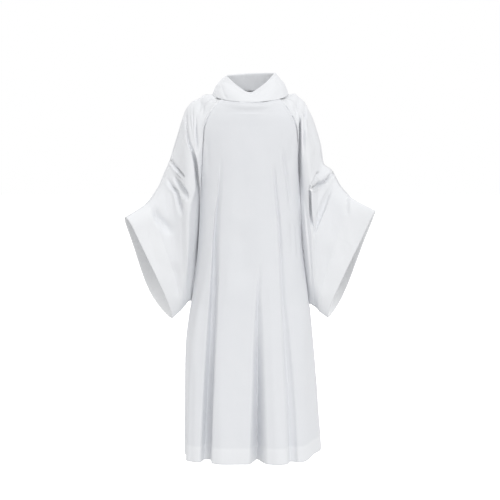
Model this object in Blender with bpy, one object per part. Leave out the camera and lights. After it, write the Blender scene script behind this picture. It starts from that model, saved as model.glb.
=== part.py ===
"""A pull-on alb, hollow and open, in the shape it takes when it is worn.

The front faces -Y, +X is the wearer's left, and the origin is the middle of the
neck at shoulder height.  Every piece is a sheet of points, worked out from named
sizes, that gets its cloth thickness last.  A sheet's rows run down the cloth and
its columns run to the right as seen from outside.
"""

from collections import namedtuple
import math

import bpy
import numpy as np

# ---------------------------------------------------------------- sizes, metres
WALL = 0.002            # thickness of the cloth
SEAM_GAP = 0.0003       # between two pieces at a seam
HEM_Z = -1.412          # the skirt's edge
HEM_DEPTH = 0.088       # turned up inside the skirt and the cuffs
UNDERARM = {-1: (0.232, 0.006, -0.806), 1: (0.230, 0.006, -0.818)}   # -1 is the right

NECK_HALF_WIDTH = 0.118     # neckline, where the collar is sewn on
NECK_FRONT = (-0.097, -0.035)       # y, z at the centre front
NECK_BACK = (0.088, 0.014)          # y, z at the centre back
NECK_SIDE_Z = 0.004
RAGLAN_TURN = 50.0      # degrees round the neckline from the centre to a raglan seam

# ---------------------------------------------------------------- mesh fineness
ROWS_TO_UNDERARM = 14
ROWS_TO_HEM = 7
ROWS_ON_NECKLINE = 2    # of a sleeve half, where its top edge lies along the neckline
FRONT_COLUMNS = 52
BACK_COLUMNS = 44
SLEEVE_COLUMNS = 13
BUNCHING = 0.3          # how much closer together the rows lie towards the underarm
COLLAR_COLUMNS = 42
FINE = 241              # steps along a row before it is spaced evenly

# ---------------------------------------------------------------- seams and sections
# Raglan seams below the neckline, for the wearer's left; x is mirrored for the right.
FRONT_RAGLAN = (
    # x      y       z
    (0.124, -0.101, -0.040),
    (0.154, -0.114, -0.074),
    (0.173, -0.116, -0.118),
    (0.180, -0.110, -0.180),
    (0.186, -0.088, -0.280),
    (0.193, -0.066, -0.410),
    (0.201, -0.046, -0.550),
    (0.214, -0.022, -0.690),
)
BACK_RAGLAN = (
    (0.122, 0.088, -0.022),
    (0.150, 0.105, -0.060),
    (0.170, 0.110, -0.115),
    (0.180, 0.104, -0.185),
    (0.187, 0.086, -0.290),
    (0.195, 0.068, -0.420),
    (0.204, 0.050, -0.560),
    (0.215, 0.030, -0.690),
)

# Side seams from the underarm down: half widths on the wearer's right and left.
SIDE_SEAMS = (
    # z      right   left    y
    (-0.775, 0.226, 0.226, 0.006),
    (-0.840, 0.238, 0.234, 0.008),
    (-0.950, 0.246, 0.243, 0.010),
    (-1.100, 0.250, 0.256, 0.012),
    (-1.250, 0.250, 0.268, 0.014),
    (-1.412, 0.250, 0.280, 0.016),
)

# Centre lines of the two panels: how far out the cloth hangs at each height.
FRONT_CENTRE = (
    # z      y
    (-0.035, -0.097),
    (-0.042, -0.120),
    (-0.054, -0.138),
    (-0.080, -0.149),
    (-0.130, -0.156),
    (-0.220, -0.160),
    (-0.380, -0.162),
    (-0.580, -0.165),
    (-0.800, -0.170),
    (-1.100, -0.181),
    (-1.412, -0.195),
)
BACK_CENTRE = (
    (0.014, 0.088),
    (-0.008, 0.108),
    (-0.045, 0.127),
    (-0.110, 0.141),
    (-0.190, 0.147),
    (-0.320, 0.145),
    (-0.520, 0.142),
    (-0.800, 0.147),
    (-1.100, 0.160),
    (-1.412, 0.178),
)

# How a panel's row bends: degrees it spans each side of its centre, and how square it is.
# `down` is 0 at the neckline, 1 at the underarm and 2 at the hem.
ROW_BEND = (
    # down  spread  square
    (0.00, 50.0, 2.00),
    (0.12, 57.0, 2.15),
    (0.30, 64.0, 2.30),
    (0.60, 76.0, 2.40),
    (1.00, 90.0, 2.45),
    (2.00, 90.0, 2.75),
)

# Hanging folds of the skirt.  `across` is 0 to 1 over the panel, left to right as seen
# from outside; `near` and `far` are the fold's reach to its left and right at the hem.
# A fold with a negative depth stands out as a ridge.
Fold = namedtuple("Fold", "across start depth near far")
FRONT_FOLDS = (
    Fold(0.100, -0.90, 0.016, 0.030, 0.026),
    Fold(0.200, -0.60, -0.046, 0.034, 0.032),
    Fold(0.272, -0.12, 0.096, 0.036, 0.022),
    Fold(0.345, -0.30, -0.016, 0.024, 0.060),
    Fold(0.553, -0.60, 0.100, 0.058, 0.026),
    Fold(0.622, -0.60, -0.024, 0.026, 0.034),
    Fold(0.706, -0.20, 0.064, 0.028, 0.026),
    Fold(0.765, -0.50, -0.018, 0.022, 0.022),
    Fold(0.822, -0.22, 0.052, 0.026, 0.026),
)
BACK_FOLDS = (
    Fold(0.130, -0.40, 0.044, 0.026, 0.030),
    Fold(0.215, -0.55, -0.024, 0.030, 0.026),
    Fold(0.300, -0.16, 0.072, 0.028, 0.042),
    Fold(0.405, -0.60, -0.016, 0.034, 0.030),
    Fold(0.500, -0.48, 0.058, 0.036, 0.030),
    Fold(0.600, -0.66, -0.018, 0.028, 0.034),
    Fold(0.690, -0.20, 0.080, 0.044, 0.026),
    Fold(0.785, -0.70, -0.024, 0.026, 0.026),
    Fold(0.875, -0.34, 0.048, 0.028, 0.026),
)
FOLD_TOP_WIDTH = 0.40       # of the width at the hem
FOLD_GROWTH = 1.15          # how late a fold gets its depth
EDGE_WINDOW = 0.07          # no fold reaches into this share of a panel's edges

# Sleeves.  A station is a ring from the top of the arm down to the lower fold: its top
# and low points, the radius it has round the arm, its depth forwards and backwards
# where it is deepest, how far down the ring that is, and how far its plane is turned.
Station = namedtuple(
    "Station", "top_x top_y top_z low_x low_y low_z arm front back belly turn")
RIGHT_SLEEVE = (
    Station(0.118, 0.000, 0.004, 0.232, 0.006, -0.806, 0.060, 0.108, 0.100, 0.40, 0.0),
    Station(0.152, 0.003, -0.010, 0.240, 0.006, -0.807, 0.066, 0.122, 0.110, 0.40, 0.0),
    Station(0.199, 0.006, -0.014, 0.247, 0.006, -0.812, 0.068, 0.128, 0.114, 0.40, 0.0),
    Station(0.247, 0.010, -0.046, 0.252, 0.006, -0.820, 0.066, 0.124, 0.108, 0.42, 4.0),
    Station(0.277, 0.018, -0.135, 0.258, 0.005, -0.826, 0.062, 0.112, 0.098, 0.44, 8.0),
    Station(0.307, 0.022, -0.235, 0.263, 0.004, -0.832, 0.058, 0.098, 0.090, 0.46, 12.0),
    Station(0.338, 0.016, -0.310, 0.268, 0.003, -0.838, 0.052, 0.086, 0.084, 0.52, 18.0),
    Station(0.366, 0.000, -0.370, 0.273, 0.001, -0.843, 0.044, 0.074, 0.082, 0.58, 24.0),
    Station(0.408, -0.030, -0.424, 0.279, -0.003, -0.849, 0.034, 0.056, 0.082, 0.64, 30.0),
    Station(0.482, -0.080, -0.472, 0.308, -0.010, -0.875, 0.022, 0.030, 0.086, 0.72, 34.0),
)
LEFT_SLEEVE = (
    Station(0.118, 0.000, 0.004, 0.230, 0.006, -0.818, 0.060, 0.108, 0.100, 0.40, 0.0),
    Station(0.152, 0.003, -0.008, 0.237, 0.006, -0.820, 0.066, 0.122, 0.110, 0.40, 0.0),
    Station(0.189, 0.006, -0.010, 0.244, 0.006, -0.824, 0.068, 0.128, 0.114, 0.40, 0.0),
    Station(0.222, 0.010, -0.044, 0.250, 0.006, -0.828, 0.066, 0.124, 0.108, 0.42, 3.0),
    Station(0.250, 0.018, -0.112, 0.255, 0.005, -0.832, 0.062, 0.112, 0.098, 0.44, 6.0),
    Station(0.274, 0.022, -0.190, 0.260, 0.004, -0.836, 0.058, 0.100, 0.092, 0.46, 10.0),
    Station(0.284, 0.020, -0.262, 0.265, 0.003, -0.840, 0.054, 0.090, 0.086, 0.48, 14.0),
    Station(0.320, 0.012, -0.294, 0.269, 0.002, -0.844, 0.050, 0.080, 0.084, 0.54, 20.0),
    Station(0.352, 0.000, -0.354, 0.273, 0.001, -0.849, 0.042, 0.070, 0.082, 0.60, 25.0),
    Station(0.400, -0.030, -0.402, 0.278, -0.003, -0.853, 0.032, 0.054, 0.080, 0.66, 30.0),
    Station(0.482, -0.080, -0.446, 0.304, -0.010, -0.872, 0.022, 0.030, 0.078, 0.72, 34.0),
)
CUFF_COLUMNS = 2            # of a sleeve's columns, over the depth of its turned hem
ARM_HOLD = (0.75, 0.30, 0.75)   # share of the sleeve that feels the armhole's own x, y, z
ARM_SHARE = 0.13            # of a ring, over which it rounds the arm
LOW_FOLD = 0.70             # 0.5 closes a ring roundly, 1 sharply
NECKLINE_SHARE = 0.07       # of a ring, from the overarm seam to the raglan corner

# Creases of the sleeves, in the plane of the front: from one point to another.
Crease = namedtuple("Crease", "piece x0 z0 x1 z1 width depth")
CREASES = (
    Crease("sleeve_right_front", -0.244, -0.050, -0.206, -0.360, 0.020, 0.020),
    Crease("sleeve_left_front", 0.226, -0.060, 0.208, -0.340, 0.016, 0.016),
    Crease("sleeve_right_front", -0.312, -0.262, -0.246, -0.345, 0.022, 0.012),
    Crease("sleeve_right_front", -0.330, -0.318, -0.250, -0.470, 0.026, 0.014),
    Crease("sleeve_right_front", -0.385, -0.425, -0.290, -0.560, 0.030, 0.010),
    Crease("sleeve_left_front", 0.318, -0.306, 0.236, -0.372, 0.022, 0.014),
    Crease("sleeve_left_front", 0.322, -0.340, 0.246, -0.545, 0.028, 0.014),
    Crease("sleeve_right_back", -0.318, -0.290, -0.240, -0.400, 0.024, 0.012),
    Crease("sleeve_right_back", -0.350, -0.360, -0.262, -0.560, 0.030, 0.012),
    Crease("sleeve_left_back", 0.288, -0.305, 0.232, -0.430, 0.024, 0.010),
    Crease("sleeve_left_back", 0.345, -0.350, 0.260, -0.550, 0.030, 0.012),
)

# Collar: the roll at its top and the free edge of its fall.
ROLL_HALF_WIDTH = 0.092
ROLL_FRONT = (-0.086, 0.006)        # y, z
ROLL_SIDE_Z = 0.074
ROLL_BACK = (0.070, 0.082)
ROLL_DIP = 2.2              # narrows the front of the roll to a soft V
ROLL_TILT = 0.005           # the roll stands higher on the wearer's left
ROLL_RADIUS = 0.004
FALL_HALF_WIDTH = 0.152
FALL_FRONT = (-0.156, -0.029)
FALL_SIDE_Z = 0.008
FALL_BACK = (0.130, 0.006)
FALL_CROWN = 0.002          # the fall bows out by this much
STAND_LIFT = 0.0020         # of the collar's lower edge over the neckline
STAND_ROWS = 2
ROLL_ROWS = 3
FALL_ROWS = 3

CLOTH = {"colour": (0.90, 0.91, 0.93, 1.0), "roughness": 0.85}
TURNED = {"colour": (0.86, 0.87, 0.89, 1.0), "roughness": 0.88}


# ---------------------------------------------------------------- curves
def read_curve(keys, values, at):
    """A smooth curve through the values at the keys, read at one or more places."""
    keys = np.asarray(keys, float)
    values = np.asarray(values, float)
    at = np.clip(np.asarray(at, float), keys[0], keys[-1])
    slopes = np.gradient(values, keys, axis=0)
    i = np.clip(np.searchsorted(keys, at, side="right") - 1, 0, len(keys) - 2)
    step = keys[i + 1] - keys[i]
    f = (at - keys[i]) / step
    if values.ndim > 1:
        f = f[..., None]
        step = step[..., None]
    start = values[i] * (2 * f**3 - 3 * f**2 + 1) + values[i + 1] * (3 * f**2 - 2 * f**3)
    bend = slopes[i] * (f**3 - 2 * f**2 + f) + slopes[i + 1] * (f**3 - f**2)
    return start + bend * step


def read_table(table, at):
    """The columns after the first, at a place in the first; tables may run downwards."""
    rows = np.asarray(sorted(table, key=lambda row: row[0]), float)
    return read_curve(rows[:, 0], rows[:, 1:], at)


def read_path(points, share):
    """Points at shares of a path's length."""
    points = np.asarray(points, float)
    steps = np.linalg.norm(np.diff(points, axis=0), axis=1)
    length = np.concatenate([[0.0], np.cumsum(steps)])
    return read_curve(length / length[-1], points, share)


def ease(x):
    x = np.clip(x, 0.0, 1.0)
    return x * x * (3.0 - 2.0 * x)


def bent(angle, power):
    """Sine of an angle in degrees, squared off by the power and keeping its sign."""
    value = np.sin(np.radians(angle))
    return np.sign(value) * np.abs(value) ** power


# ---------------------------------------------------------------- the body
def neckline(turn):
    """A point of the neckline; turn is in degrees from the centre front, left positive."""
    sine = math.sin(math.radians(turn))
    cosine = math.cos(math.radians(turn))
    centre = NECK_FRONT if cosine > 0 else NECK_BACK
    z = NECK_SIDE_Z + (centre[1] - NECK_SIDE_Z) * abs(cosine)
    return (NECK_HALF_WIDTH * sine, centre[0] * abs(cosine), z)


def armhole(front, side):
    """The raglan seam from the neckline to the underarm; side is 1 on the wearer's left."""
    turn = RAGLAN_TURN if front else 180.0 - RAGLAN_TURN
    rows = FRONT_RAGLAN if front else BACK_RAGLAN
    path = np.asarray([neckline(turn), *rows, UNDERARM[side]])
    return path * (side, 1.0, 1.0)


def down_shares(count):
    """Shares of the way from the neckline to the underarm, closer together lower down."""
    f = np.linspace(0.0, 1.0, count + 1)
    return f * (1.0 + BUNCHING * (1.0 - f))


def side_points(front, side):
    """A panel's edge from the neckline to the hem."""
    above = read_path(armhole(front, side), down_shares(ROWS_TO_UNDERARM))
    plain = np.linspace(UNDERARM[side][2], HEM_Z + HEM_DEPTH, ROWS_TO_HEM)
    z = np.append(plain[1:], HEM_Z)
    widths = read_table(SIDE_SEAMS, z)
    x = widths[:, 1] if side > 0 else -widths[:, 0]
    below = np.column_stack([x, widths[:, 2], z])
    return np.vstack([above, below])


def plain_row(left, right, middle, spread, square, columns):
    """A row of a panel before its folds, its points evenly spaced along the cloth."""
    power = 2.0 / square
    angle = np.linspace(-spread, spread, FINE)
    reach = bent(angle, power) / bent(spread, power)
    level = bent(90.0 - np.abs(angle), power)
    edge = bent(90.0 - spread, power)
    swell = (level - edge) / (1.0 - edge)
    end = np.where(reach[:, None] < 0, left, right)
    points = end + (middle - end) * swell[:, None]
    points[:, 0] = np.abs(reach) * end[:, 0]
    steps = np.linalg.norm(np.diff(points, axis=0), axis=1)
    place = np.concatenate([[0.0], np.cumsum(steps)])
    wanted = np.linspace(0.0, place[-1], columns + 1)
    return np.column_stack([np.interp(wanted, place, axis) for axis in points.T])


def fold_row(row, folds):
    """Pushes a row in and out along its own level normals."""
    across = np.linspace(0.0, 1.0, len(row))
    along = np.gradient(row[:, :2], axis=0)
    along /= np.linalg.norm(along, axis=1)[:, None]
    outward = np.column_stack([along[:, 1], -along[:, 0], np.zeros(len(row))])
    length = np.linalg.norm(np.diff(row, axis=0), axis=1).sum()
    window = ease(np.minimum(across, 1.0 - across) / EDGE_WINDOW)
    push = np.zeros(len(row))
    for fold in folds:
        height = np.interp(fold.across, across, row[:, 2])
        grown = np.clip((fold.start - height) / (fold.start - HEM_Z), 0.0, 1.0)
        width = FOLD_TOP_WIDTH + (1.0 - FOLD_TOP_WIDTH) * grown
        away = (across - fold.across) * length
        reach = np.where(away < 0.0, fold.near, fold.far) * width
        push -= fold.depth * grown**FOLD_GROWTH * np.exp(-((away / reach) ** 2))
    return row + outward * (push * window)[:, None]


def panel(front):
    """The front or back panel, neckline to hem."""
    columns = FRONT_COLUMNS if front else BACK_COLUMNS
    left_hand = side_points(front, -1 if front else 1)
    right_hand = side_points(front, 1 if front else -1)
    down = np.concatenate([
        down_shares(ROWS_TO_UNDERARM),
        np.linspace(1.0, 2.0, ROWS_TO_HEM + 1)[1:],
    ])
    neck = NECK_FRONT if front else NECK_BACK
    centres = FRONT_CENTRE if front else BACK_CENTRE
    drop = neck[1] - left_hand[0, 2]
    grid = []
    for row, (spread, square) in enumerate(read_table(ROW_BEND, down)):
        left, right = left_hand[row], right_hand[row]
        middle_z = (left[2] + right[2]) / 2 + drop * max(0.0, 1.0 - down[row]) ** 3
        middle = np.array([0.0, read_table(centres, middle_z)[0], middle_z])
        points = plain_row(left, right, middle, spread, square, columns)
        grid.append(fold_row(points, FRONT_FOLDS if front else BACK_FOLDS))
    return np.array(grid)


# ---------------------------------------------------------------- the sleeves
def ring_shares():
    """Shares of the way down a sleeve's ring, matched to the rows of the panels."""
    top = np.linspace(0.0, NECKLINE_SHARE, ROWS_ON_NECKLINE + 1)[:-1]
    return np.append(top, NECKLINE_SHARE + (1.0 - NECKLINE_SHARE) * down_shares(ROWS_TO_UNDERARM))


def ring(stations, at, front, side):
    """Half of a sleeve's ring: from the overarm seam down to the underarm seam."""
    keys = np.linspace(0.0, 1.0, len(stations))
    station = Station(*read_curve(keys, stations, at))
    share = ring_shares()[:, None]
    top = np.array([station.top_x, station.top_y, station.top_z])
    low = np.array([station.low_x, station.low_y, station.low_z])
    line = top + (low - top) * share
    depth = station.front if front else station.back
    cap = np.sqrt(1.0 - (1.0 - np.clip(share / ARM_SHARE, 0.0, 1.0)) ** 2)
    swell = station.arm + (depth - station.arm) * ease(share / station.belly)
    below = np.clip((share - station.belly) / (1.0 - station.belly), 0.0, 1.0)
    bulge = cap * swell * (1.0 - below**2) ** LOW_FOLD
    turn = math.radians(station.turn)
    forwards = np.array([-math.sin(turn), -math.cos(turn), 0.0])
    points = line + forwards * (bulge if front else -bulge)
    return points * (side, 1.0, 1.0)


def crease(grid, piece, outward_y):
    """Presses soft troughs into a sleeve half along its creases."""
    for one in CREASES:
        if one.piece != piece:
            continue
        start = np.array([one.x0, one.z0])
        run = np.array([one.x1, one.z1]) - start
        flat = grid[:, :, [0, 2]] - start
        share = (flat @ run) / (run @ run)
        away = np.linalg.norm(flat - np.clip(share, 0.0, 1.0)[..., None] * run, axis=-1)
        fade = ease(np.minimum(share, 1.0 - share) * 2.0 + 0.5)
        trough = one.depth * np.exp(-((away / one.width) ** 2)) * fade
        trough[[0, -1]] = 0.0
        trough[:, [0, -1]] = 0.0
        grid[:, :, 1] -= outward_y * trough
    return grid


def sleeve_half(name, stations, front, side):
    """A half sleeve from the armhole to the cuff."""
    corner = RAGLAN_TURN if front else 180.0 - RAGLAN_TURN
    turns = 90.0 + (corner - 90.0) * np.arange(ROWS_ON_NECKLINE) / ROWS_ON_NECKLINE
    neck = np.array([neckline(turn) for turn in turns]) * (side, 1.0, 1.0)
    seam = np.vstack([neck, read_path(armhole(front, side), down_shares(ROWS_TO_UNDERARM))])
    cuff = 1.0 / (len(stations) - 1)
    plain = np.linspace(0.0, 1.0 - cuff, SLEEVE_COLUMNS - CUFF_COLUMNS + 1)
    places = np.append(plain, 1.0 - cuff + cuff * np.arange(1, CUFF_COLUMNS + 1) / CUFF_COLUMNS)
    first = ring(stations, 0.0, front, side)
    columns = []
    for at in places:
        hold = np.clip(1.0 - at / np.array(ARM_HOLD), 0.0, 1.0) ** 2
        columns.append(ring(stations, at, front, side) + (seam - first) * hold)
    grid = np.stack(columns, axis=1)
    grid = crease(grid, name, -1.0 if front else 1.0)
    outward_is_right = front == (side > 0)
    return grid if outward_is_right else grid[:, ::-1]


# ---------------------------------------------------------------- the collar
def round_point(turn, half_width, front, side_z, back, dip=1.0, tilt=0.0):
    """A point of a ring round the neck.  `dip` above 1 narrows its low place in front."""
    sine = math.sin(math.radians(turn))
    cosine = math.cos(math.radians(turn))
    centre = front if cosine > 0 else back
    lowering = abs(cosine) ** (dip if cosine > 0 else 1.0)
    z = side_z + tilt * sine + (centre[1] - side_z) * lowering
    return np.array([half_width * sine, centre[0] * abs(cosine), z])


def collar():
    """Stand, roll and fall, cut in one and folded over; closed round the neck."""
    columns = []
    for turn in np.arange(COLLAR_COLUMNS) * 360.0 / COLLAR_COLUMNS:
        sewn = np.array(neckline(turn)) + (0.0, 0.0, STAND_LIFT)
        roll = round_point(turn, ROLL_HALF_WIDTH, ROLL_FRONT, ROLL_SIDE_Z, ROLL_BACK,
                           ROLL_DIP, ROLL_TILT)
        edge = round_point(turn, FALL_HALF_WIDTH, FALL_FRONT, FALL_SIDE_Z, FALL_BACK)
        out = (edge - roll) * (1.0, 1.0, 0.0)
        out /= np.linalg.norm(out)
        up = np.array([0.0, 0.0, 1.0])
        points = [sewn + (roll - sewn) * f for f in np.linspace(0.0, 1.0, STAND_ROWS + 1)]
        for step in range(1, ROLL_ROWS):
            angle = math.pi * step / ROLL_ROWS
            lift = up * math.sin(angle) - out * math.cos(angle)
            points.append(roll + (out + lift) * ROLL_RADIUS)
        start = roll + out * 2 * ROLL_RADIUS
        for f in np.linspace(0.0, 1.0, FALL_ROWS + 1):
            crown = (out + up) * FALL_CROWN * math.sin(math.pi * f)
            points.append(start + (edge - start) * f + crown)
        columns.append(points)
    return np.stack(columns, axis=1)


# ---------------------------------------------------------------- cloth from sheets
def spot(point):
    return tuple(np.round(point, 6))


def own_normals(grid, wrap):
    """Unit normals of one sheet, pointing outwards."""
    closed = np.concatenate([grid, grid[:, :1]], axis=1) if wrap else grid
    a, b = closed[:-1, :-1], closed[:-1, 1:]
    c, d = closed[1:, 1:], closed[1:, :-1]
    faces = np.cross(c - a, b - d)
    total = np.zeros_like(closed)
    for part in (np.s_[:-1, :-1], np.s_[:-1, 1:], np.s_[1:, 1:], np.s_[1:, :-1]):
        total[part] += faces
    if wrap:
        total[:, 0] += total[:, -1]
        total = total[:, :-1]
    return total / np.linalg.norm(total, axis=2)[..., None]


def shared_normals(sheets):
    """Each sheet's normals, halved between the sheets that meet at a seam."""
    own = {name: own_normals(grid, wrap) for name, (grid, wrap) in sheets.items()}
    totals = {}
    for name, (grid, _) in sheets.items():
        for point, normal in zip(grid.reshape(-1, 3), own[name].reshape(-1, 3)):
            key = spot(point)
            totals[key] = totals.get(key, 0.0) + normal
    shared = {}
    for name, (grid, _) in sheets.items():
        flat = np.array([totals[spot(point)] for point in grid.reshape(-1, 3)])
        flat /= np.linalg.norm(flat, axis=1)[:, None]
        shared[name] = flat.reshape(grid.shape)
    return shared


def draw_back(grid, normals, wrap):
    """Pulls a sheet's edges back from their seams by half the gap."""
    moved = grid.copy()
    edges = [(np.s_[0], np.s_[1]), (np.s_[-1], np.s_[-2])]
    if not wrap:
        edges += [(np.s_[:, 0], np.s_[:, 1]), (np.s_[:, -1], np.s_[:, -2])]
    for edge, inner in edges:
        if wrap:
            tangent = np.roll(grid[edge], -1, axis=0) - np.roll(grid[edge], 1, axis=0)
        else:
            tangent = np.gradient(grid[edge], axis=0)
        back = np.cross(tangent, normals[edge])
        back /= np.linalg.norm(back, axis=1)[:, None]
        inwards = np.sign(np.sum(back * (grid[inner] - grid[edge]), axis=1))
        moved[edge] += back * inwards[:, None] * (SEAM_GAP / 2)
    return moved


def cloth(name, grid, normals, finish, wrap=False, slant=False):
    """A closed wall of cloth round a sheet of points; slant cuts its cells the other way."""
    rows, columns = grid.shape[:2]
    middle = draw_back(grid, normals, wrap)
    outside = middle + normals * (WALL / 2)
    inside = middle - normals * (WALL / 2)
    points = np.concatenate([outside.reshape(-1, 3), inside.reshape(-1, 3)])
    inner = rows * columns
    from_neck = np.abs(points[:, 0]) - points[:, 2]

    def at(row, column):
        return row * columns + column % columns

    faces = []

    def wall(a, b, c, d):
        faces.append((a, b, c))
        faces.append((a, c, d))

    def rim(a, b):
        if from_neck[a] < from_neck[b]:
            wall(a, b, b + inner, a + inner)
        else:
            wall(b, b + inner, a + inner, a)

    last = columns if wrap else columns - 1
    for row in range(rows - 1):
        for column in range(last):
            corners = [at(row, column), at(row + 1, column),
                       at(row + 1, column + 1), at(row, column + 1)]
            if slant:
                corners = corners[1:] + corners[:1]
            wall(*corners)
            a, b, c, d = (corner + inner for corner in corners)
            faces.append((a, c, b))
            faces.append((a, d, c))
    for column in range(last):
        rim(at(0, column), at(0, column + 1))
        rim(at(rows - 1, column + 1), at(rows - 1, column))
    if not wrap:
        for row in range(rows - 1):
            rim(at(row + 1, 0), at(row, 0))
            rim(at(row, columns - 1), at(row + 1, columns - 1))

    mesh = bpy.data.meshes.new(name)
    mesh.from_pydata(points.tolist(), [], faces)
    mesh.shade_smooth()
    mesh.set_sharp_from_angle(angle=math.radians(60.0))
    mesh.validate()
    piece = bpy.data.objects.new(name, mesh)
    bpy.context.scene.collection.objects.link(piece)
    material = bpy.data.materials.new(name)
    material.use_nodes = True
    shader = material.node_tree.nodes["Principled BSDF"]
    shader.inputs["Base Color"].default_value = finish["colour"]
    shader.inputs["Roughness"].default_value = finish["roughness"]
    mesh.materials.append(material)
    return piece


def build():
    for old in list(bpy.data.objects):
        bpy.data.objects.remove(old, do_unlink=True)

    sheets = {
        "body_front": (panel(True), False),
        "body_back": (panel(False), False),
    }
    for hand, stations, side in (("right", RIGHT_SLEEVE, -1), ("left", LEFT_SLEEVE, 1)):
        for half in ("front", "back"):
            name = f"sleeve_{hand}_{half}"
            sheets[name] = (sleeve_half(name, stations, half == "front", side), False)
    sheets["collar"] = (collar(), True)
    normals = shared_normals(sheets)
    for name, (grid, wrap) in sheets.items():
        slant = name in ("sleeve_right_front", "sleeve_left_back")
        cloth(name, grid, normals[name], CLOTH, wrap, slant)

    inwards = WALL + SEAM_GAP
    for half in ("front", "back"):
        grid = sheets[f"body_{half}"][0][-2:]
        normal = normals[f"body_{half}"][-2:]
        cloth(f"hem_{half}", grid - normal * inwards, normal, TURNED)
        for hand, side in (("right", -1), ("left", 1)):
            name = f"sleeve_{hand}_{half}"
            cuff_is_last = (half == "front") == (side > 0)
            part = np.s_[:, -1 - CUFF_COLUMNS:] if cuff_is_last else np.s_[:, :CUFF_COLUMNS + 1]
            grid = sheets[name][0][part]
            normal = normals[name][part]
            cloth(f"cuff_hem_{hand}_{half}", grid - normal * inwards, normal, TURNED,
                  slant=not cuff_is_last)


build()
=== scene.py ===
import math

import bpy
import numpy as np
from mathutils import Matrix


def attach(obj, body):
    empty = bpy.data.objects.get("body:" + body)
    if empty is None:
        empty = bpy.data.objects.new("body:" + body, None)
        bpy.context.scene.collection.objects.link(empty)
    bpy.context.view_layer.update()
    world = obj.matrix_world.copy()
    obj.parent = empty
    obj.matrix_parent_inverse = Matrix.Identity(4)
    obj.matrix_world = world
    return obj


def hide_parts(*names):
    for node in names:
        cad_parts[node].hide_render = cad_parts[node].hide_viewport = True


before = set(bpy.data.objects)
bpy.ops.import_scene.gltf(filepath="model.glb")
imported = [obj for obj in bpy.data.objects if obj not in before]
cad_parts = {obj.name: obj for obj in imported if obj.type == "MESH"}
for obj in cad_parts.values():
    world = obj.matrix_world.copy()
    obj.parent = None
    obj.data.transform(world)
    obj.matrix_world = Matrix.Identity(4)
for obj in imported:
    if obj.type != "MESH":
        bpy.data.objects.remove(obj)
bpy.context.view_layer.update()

# Metres.  +X is the wearer's left, the front faces -Y, z = 0 is the neck point.
# A sheet's rows run down the cloth, its columns to the right as seen from outside.


def mm(table, columns=None):
    # tables of lengths are in millimetres: all of their columns, or the first ones
    rows = np.array(table, float)
    rows[..., :columns] /= 1000.0
    return rows


cloth = {
    "thickness": 0.0008,
    # how far a seam sinks, by height
    "seamDip": mm(((20, 0.6), (-30, 0.8), (-44, 4.4), (-100, 4.2), (-190, 2.4), (-250, 0.6),
                   (-600, 0.8), (-1450, 1.8))),
    "seamWidth": 0.0026,
    "seamPuff": 0.60,       # the cloth swells beside it, by this share of the dip
    "puffPlace": 0.009,     # the swelling's middle and its reach
    "puffReach": 0.006,
    "pucker": 0.0007,       # small ripples beside a seam
    "puckerSize": 0.012,
    "puckerStart": 0.002,
    "puckerReach": 0.012,
    "puckerSeed": 50,
    "hemDip": 0.0010,       # along the stitches of a turned hem
    "hemLayer": 0.0003,     # between the cloth and its turned hem
    "edgeHold": 0.012,      # creases die out this close to a seam
    "hollowHold": 0.03,     # and hollows this close to the top and bottom of a sleeve
    "joinHold": 0.04,       # share of the collar over which its soft dents meet again
    "noiseSide": 64,        # soft bumps repeat after so many
    "noiseStart": (200.3, 200.7),
}
neck = {
    "halfWidth": 0.118,
    "front": (-0.097, -0.035),      # y, z
    "back": (0.088, 0.014),
    "sideZ": 0.004,
    "raglanTurn": 50.0,             # degrees from the centre to a raglan seam
}
underarm = {-1: (0.232, 0.006, -0.806), 1: (0.230, 0.006, -0.818)}
skirt = {
    "hemZ": -1.412,
    "hemDepth": 0.056,
    "sideSeams": mm((
        # z, right, left, y
        (-775, 226, 226, 6), (-840, 238, 234, 8), (-950, 252, 243, 10), (-1100, 258, 256, 12),
        (-1250, 260, 268, 14), (-1412, 262, 280, 16),
    )),
    # down: 0 neckline, 1 underarm, 2 hem; spread in degrees, then how square
    "rowBend": (
        (0.00, 50.0, 2.00), (0.12, 57.0, 2.15), (0.30, 64.0, 2.30),
        (0.60, 76.0, 2.40), (1.00, 90.0, 2.45), (2.00, 90.0, 2.75),
    ),
    "rowFineness": 721,     # points that a row is first drawn with
    "hemShare": 0.906,      # of the way from underarm to hem, where the turned hem begins
    "edgeWindow": 0.07,
    "foldTopWidth": 0.40,
    "foldGrowth": 1.15,
    "bandReach": 0.86,      # bands stay within this share of the row
    "bandFloor": 0.0002,    # half of the least floor between two walls
    "sideLift": (0.205, 0.050, 0.019, -0.90),   # the hem rises at the left side: x, over, by, from z
    "edgeColumns": mm((0, 1.2, 2.6, 4.4, 6.8)),     # columns close to a side seam
    "crowdedRows": ((0.0, 0.78, 1.0), (0.0, 0.54, 1.0)),    # closer in the upper part
}


def readCurve(keys, values, at):
    keys = np.asarray(keys, float)
    values = np.asarray(values, float)
    at = np.clip(np.asarray(at, float), keys[0], keys[-1])
    slopes = np.gradient(values, keys, axis=0)
    i = np.clip(np.searchsorted(keys, at, side="right") - 1, 0, len(keys) - 2)
    step = keys[i + 1] - keys[i]
    f = (at - keys[i]) / step
    if values.ndim > 1:
        f = f[..., None]
        step = step[..., None]
    start = values[i] * (2 * f**3 - 3 * f**2 + 1) + values[i + 1] * (3 * f**2 - 2 * f**3)
    bend = slopes[i] * (f**3 - 2 * f**2 + f) + slopes[i + 1] * (f**3 - f**2)
    return start + bend * step


def readTable(table, at):
    rows = np.asarray(sorted(table, key=lambda row: row[0]), float)
    return readCurve(rows[:, 0], rows[:, 1:], at)


def metresDown(points):
    steps = np.linalg.norm(np.diff(points, axis=0), axis=-1)
    return np.concatenate([np.zeros((1, *steps.shape[1:])), np.cumsum(steps, axis=0)])


def metresAcross(grid):
    return metresDown(grid.swapaxes(0, 1)).T


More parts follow.
